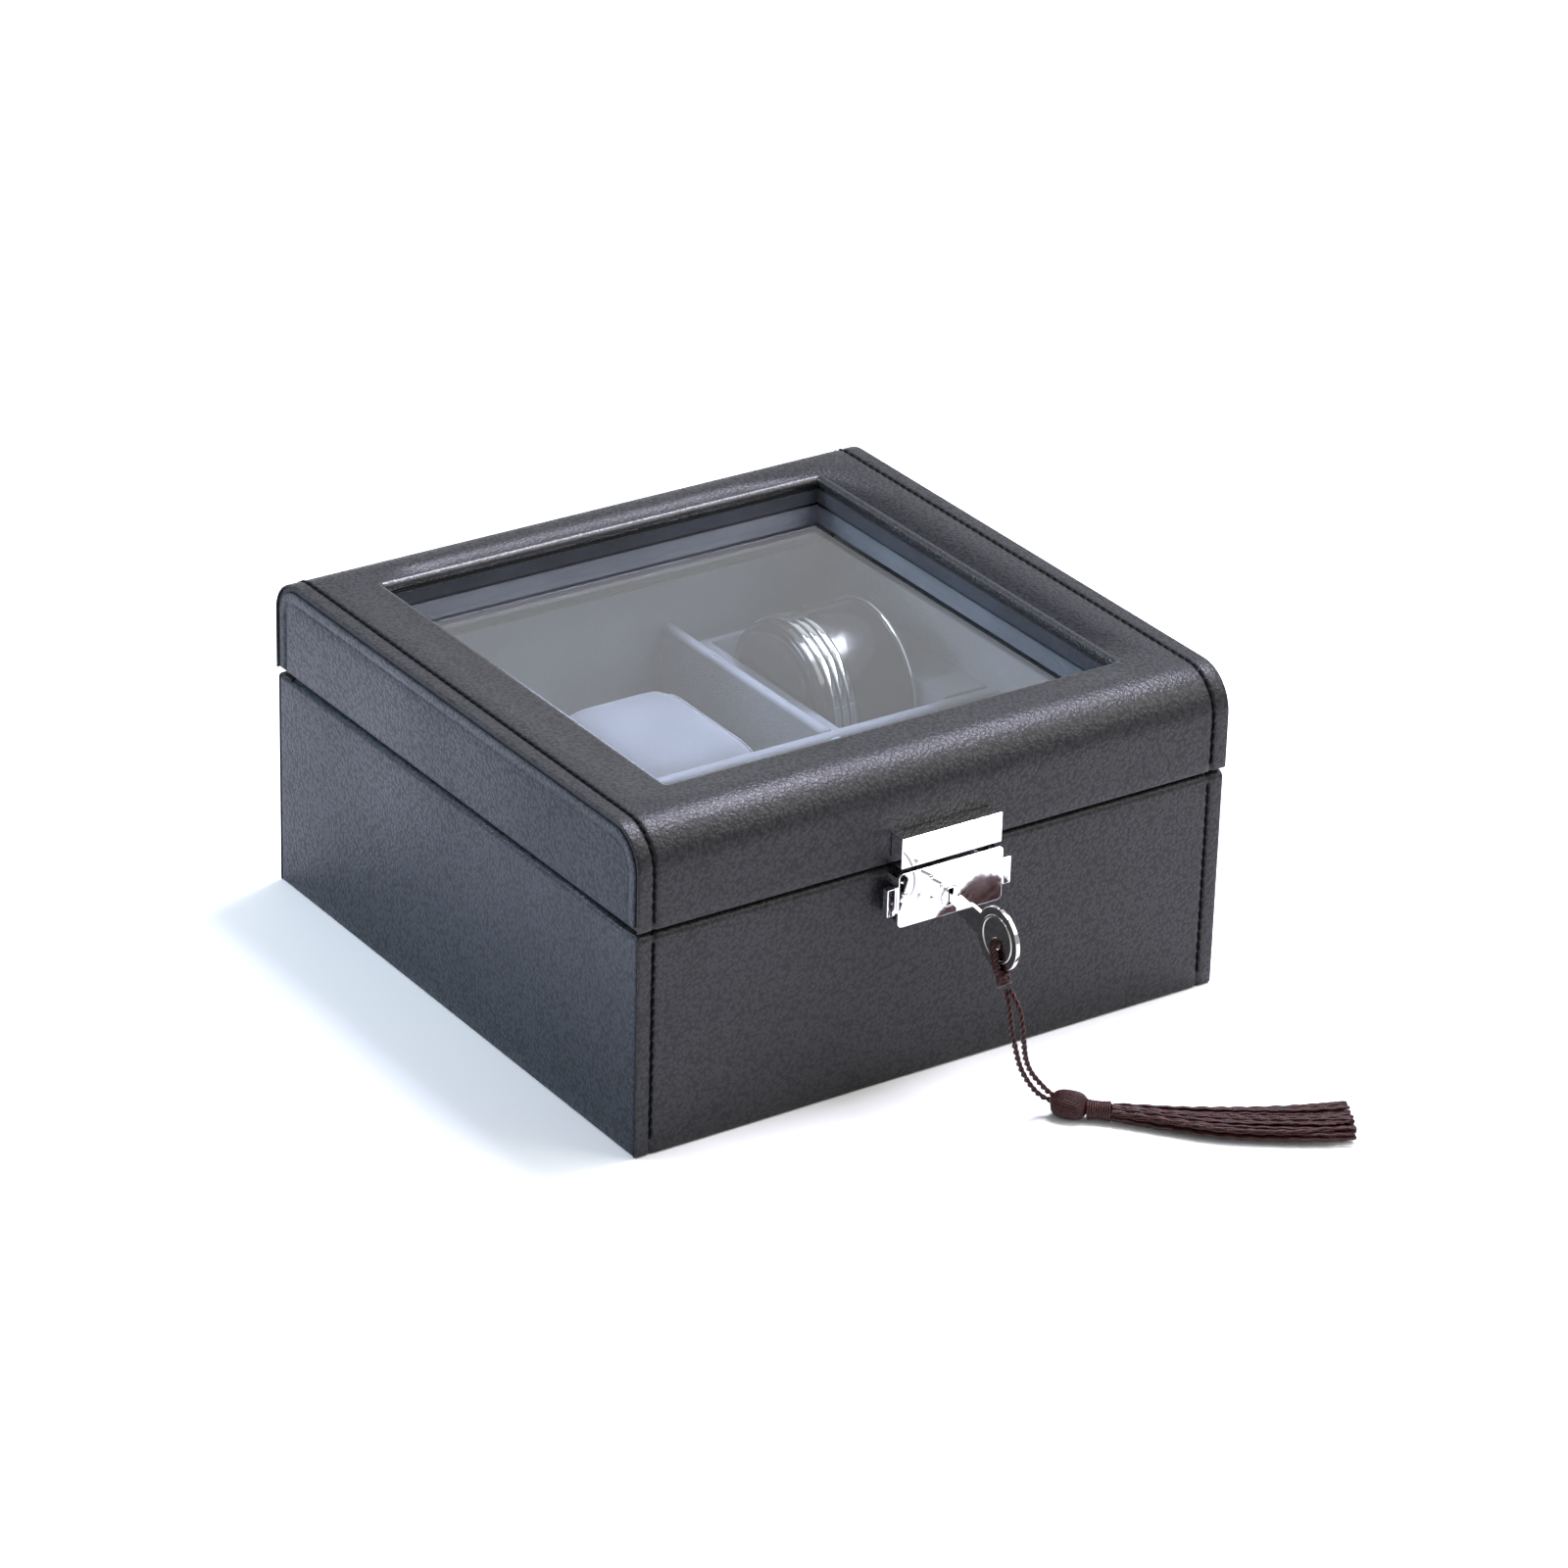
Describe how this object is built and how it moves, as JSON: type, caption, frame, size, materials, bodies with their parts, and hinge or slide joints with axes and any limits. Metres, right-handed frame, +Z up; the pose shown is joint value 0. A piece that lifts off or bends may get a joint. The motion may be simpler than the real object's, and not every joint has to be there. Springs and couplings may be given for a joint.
{
  "type": "watch winder box",
  "caption": "Grey leather watch box with a window in its hinged lid, velvet bays, a winding drum with a hidden motor drive, and a keyed front lock with a cord tassel.",
  "frame": {"origin": "centre of the base's footprint, on the surface the box stands on (mount base_rest)", "axes": "+X to the right seen from the lock side, -Y is the front with the lock, +Z up"},
  "size_m": [0.2, 0.2997, 0.1],
  "materials": {
    "leather_grey": "fine pebble grain, satin",
    "leather_blue_grey": "fine pebble grain, satin",
    "suede": "napped, matt",
    "velvet": "short pile, matt",
    "felt": "matt felt",
    "board": "bare fibreboard",
    "window_glass": "clear, polished",
    "lock_chrome": "mirror",
    "inner_steel": "satin",
    "hinge_brass": "satin",
    "cord": "twisted viscose, shiny",
    "black_gloss": "gloss",
    "black_plastic": "fine texture"
  },
  "bodies": {
    "base": {"base_felt": "felt", "base_bottom_board": "board", "base_front_board": "board", "base_back_board": "board", "base_left_board": "board", "base_right_board": "board", "base_leather_wraps": "leather_grey", "base_leather_sides": "leather_blue_grey", "base_lining": "velvet", "divider_left": "velvet", "divider_right": "velvet", "divider_cross": "velvet", "pillow_front_left": "velvet", "pillow_front_middle": "velvet", "pillow_front_right": "velvet", "pillow_back_left": "velvet", "pillow_back_middle": "velvet", "hinge_base_leaves": "hinge_brass", "hinge_pins": "hinge_brass", "hinge_base_screws": "hinge_brass", "lock_plate": "lock_chrome", "lock_case": "inner_steel", "catch_spring": "inner_steel", "lock_screws": "inner_steel", "tassel_cord_left": "cord", "tassel_cord_right": "cord", "tassel_head": "cord", "tassel_skirt": "cord", "winder_housing": "velvet", "winder_base_plate": "black_plastic", "drum_bushes": "hinge_brass", "drive_motor": "inner_steel", "control_board": "black_plastic", "power_socket": "black_plastic"},
    "lid": {"lid_front_board": "board", "lid_back_board": "board", "lid_left_board": "board", "lid_right_board": "board", "lid_top_board": "board", "lid_leather_wrap": "leather_grey", "lid_leather_sides": "leather_blue_grey", "lid_lining": "velvet", "window_bead": "leather_grey", "window_edging": "suede", "window_glass": "window_glass", "glass_retainer": "suede", "hinge_lid_leaves": "hinge_brass", "hinge_lid_screws": "hinge_brass", "keeper_cover": "lock_chrome", "keeper_tongue": "inner_steel", "keeper_screws": "inner_steel"},
    "key": {"key": "lock_chrome", "tassel_knot": "cord"},
    "lock_plug": {"lock_plug": "inner_steel"},
    "catch": {"lock_catch": "lock_chrome"},
    "drum": {"winding_drum": "black_gloss", "drum_ribs": "lock_chrome", "drum_gear": "hinge_brass"},
    "pinion": {"motor_pinion": "inner_steel"},
    "switch": {"switch_knob": "lock_chrome"}
  },
  "joints": [
    {"name": "lid_hinge", "type": "hinge", "parent": "base", "child": "lid", "pos_m": [0, 0.1012, 0.0696], "axis": [-1, 0, 0], "range_deg": [0, 95]},
    {"name": "key_turn", "type": "hinge", "parent": "base", "child": "key", "pos_m": [0, -0.1042, 0.058], "axis": [0, -1, 0], "range_deg": [0, 90]},
    {"name": "plug_turn", "type": "hinge", "parent": "base", "child": "lock_plug", "pos_m": [0, -0.1042, 0.058], "axis": [0, -1, 0], "range_deg": [0, 90]},
    {"name": "catch_slide", "type": "slide", "parent": "base", "child": "catch", "axis": [0, 0, -1], "range_m": [0, 0.0015], "stiffness_N_per_m": 400, "deforming": ["catch_spring"]},
    {"name": "rotor_spin", "type": "hinge", "parent": "base", "child": "drum", "pos_m": [0.058, 0.044, 0.043], "axis": [1, 0, 0], "continuous": true},
    {"name": "pinion_spin", "type": "hinge", "parent": "base", "child": "pinion", "pos_m": [0.0804, 0.04041, 0.03313], "axis": [1, 0, 0], "continuous": true},
    {"name": "switch_slide", "type": "slide", "parent": "base", "child": "switch", "axis": [1, 0, 0], "range_m": [0, 0.006]}
  ],
  "couplings": [
    {"joint": "plug_turn", "follows": "key_turn", "ratio": 1},
    {"joint": "pinion_spin", "follows": "rotor_spin", "ratio": -2.5}
  ]
}
